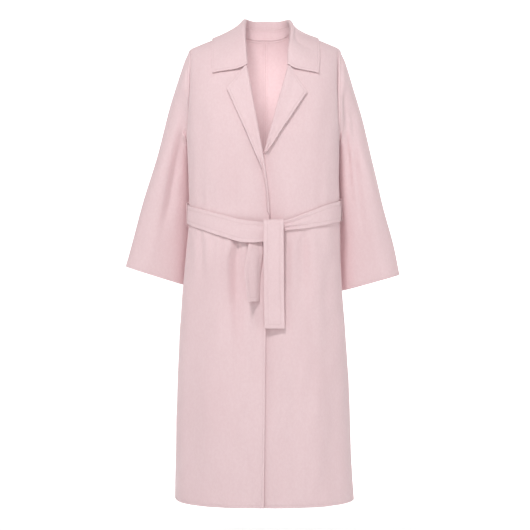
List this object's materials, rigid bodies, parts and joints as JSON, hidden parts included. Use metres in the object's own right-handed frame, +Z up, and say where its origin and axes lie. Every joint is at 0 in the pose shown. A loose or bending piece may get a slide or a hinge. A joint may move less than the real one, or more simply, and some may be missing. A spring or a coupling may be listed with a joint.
{
  "type": "single-breasted coat",
  "caption": "Long collared wool coat with notched lapels and wide sleeves, worn closed with its own tied cloth belt; rigid, open at neck, hem and cuffs.",
  "frame": {"origin": "middle of the neck, level with the seam between the back and the collar, over the shoulder line", "axes": "+Z up, -Y towards the coat's front, +X towards the wearer's left"},
  "size_m": [0.7049, 0.3205, 1.2249],
  "materials": {
    "coat_wool": "matt, softly brushed double-faced wool",
    "belt_wool": "matt, softly brushed double-faced wool"
  },
  "bodies": {
    "root": {"back_left": "coat_wool", "back_right": "coat_wool", "front_left": "coat_wool", "front_right": "coat_wool", "sleeve_left": "coat_wool", "sleeve_right": "coat_wool", "collar_stand": "coat_wool", "collar_fall": "coat_wool", "belt_waist": "belt_wool", "belt_tail_front": "belt_wool", "belt_tail_under": "belt_wool", "belt_loop_left": "belt_wool", "belt_loop_right": "belt_wool"}
  },
  "joints": []
}
